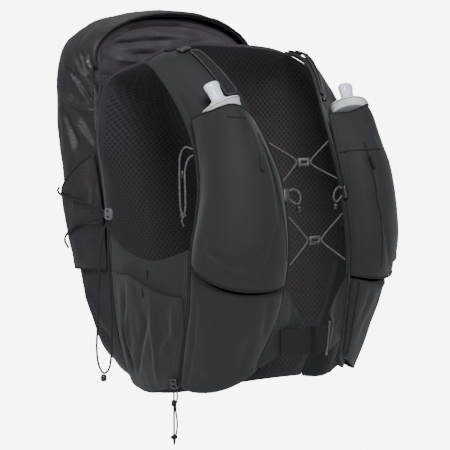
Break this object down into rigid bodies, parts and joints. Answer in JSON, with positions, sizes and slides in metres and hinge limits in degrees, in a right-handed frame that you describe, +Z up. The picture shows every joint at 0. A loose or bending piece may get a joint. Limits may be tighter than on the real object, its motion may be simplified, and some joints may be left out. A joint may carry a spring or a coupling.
{
  "type": "running hydration vest",
  "caption": "Front-laced running hydration vest with a back bag, chest pockets holding soft flasks, stretch side panels, compression cords and a waist strap.",
  "frame": {"origin": "midway between the places where the vest rests on the two shoulders", "axes": "+Z up, the front faces -Y, the wearer's right side is -X"},
  "size_m": [0.3111, 0.3886, 0.4716],
  "materials": {
    "mesh": "perforated spacer mesh",
    "ripstop": "glossy thin ripstop",
    "stretch": "matt stretch knit",
    "pocket": "matt stretch knit",
    "webbing": "woven webbing",
    "cord": "braided cord",
    "dark_cord": "braided cord and moulded beads",
    "plastic": "satin",
    "steel": "satin",
    "flask": "translucent soft film",
    "cap": "satin",
    "valve": "soft clear silicone"
  },
  "bodies": {
    "root": {"back_panel": "mesh", "bag_shell": "ripstop", "bag_front_wall": "ripstop", "stash_pocket_right": "ripstop", "side_wing_right": "stretch", "side_pocket_right": "stretch", "front_panel_right": "stretch", "lower_pocket_right": "pocket", "flask_pocket_right": "pocket", "flask_right": "flask", "flask_cap_right": "cap", "bite_valve_right": "valve", "lace_rail_right": "cord", "lace_upper_right": "cord", "lace_lower_right": "cord", "lace_lock_right": "plastic", "lock_loop_right": "cord", "lock_bead_right": "dark_cord", "shoulder_tab_right": "webbing", "lifter_buckle_right": "plastic", "lifter_strap_right": "webbing", "lifter_bead_right": "dark_cord", "zip_pull_right": "webbing", "side_buckle_right": "plastic", "side_cord_right": "dark_cord", "stash_pocket_left": "ripstop", "side_wing_left": "stretch", "side_pocket_left": "stretch", "front_panel_left": "stretch", "lower_pocket_left": "pocket", "flask_pocket_left": "pocket", "flask_left": "flask", "flask_cap_left": "cap", "bite_valve_left": "valve", "lace_rail_left": "cord", "lace_upper_left": "cord", "lace_lower_left": "cord", "lace_lock_left": "plastic", "lock_loop_left": "cord", "lock_bead_left": "dark_cord", "shoulder_tab_left": "webbing", "lifter_buckle_left": "plastic", "lifter_strap_left": "webbing", "lifter_bead_left": "dark_cord", "zip_pull_left": "webbing", "side_buckle_left": "plastic", "side_cord_left": "dark_cord", "lace_hook_upper": "steel", "lace_hook_lower": "steel", "waist_strap": "webbing", "waist_bar": "steel", "waist_gusset_right": "stretch", "waist_gusset_left": "stretch", "side_loop_right": "dark_cord", "side_bead_right": "dark_cord", "pole_cord_right": "cord", "pole_stopper_right": "dark_cord", "hem_buckle_right": "plastic", "hem_cord_right": "cord", "hem_bead_right": "dark_cord"}
  },
  "joints": []
}
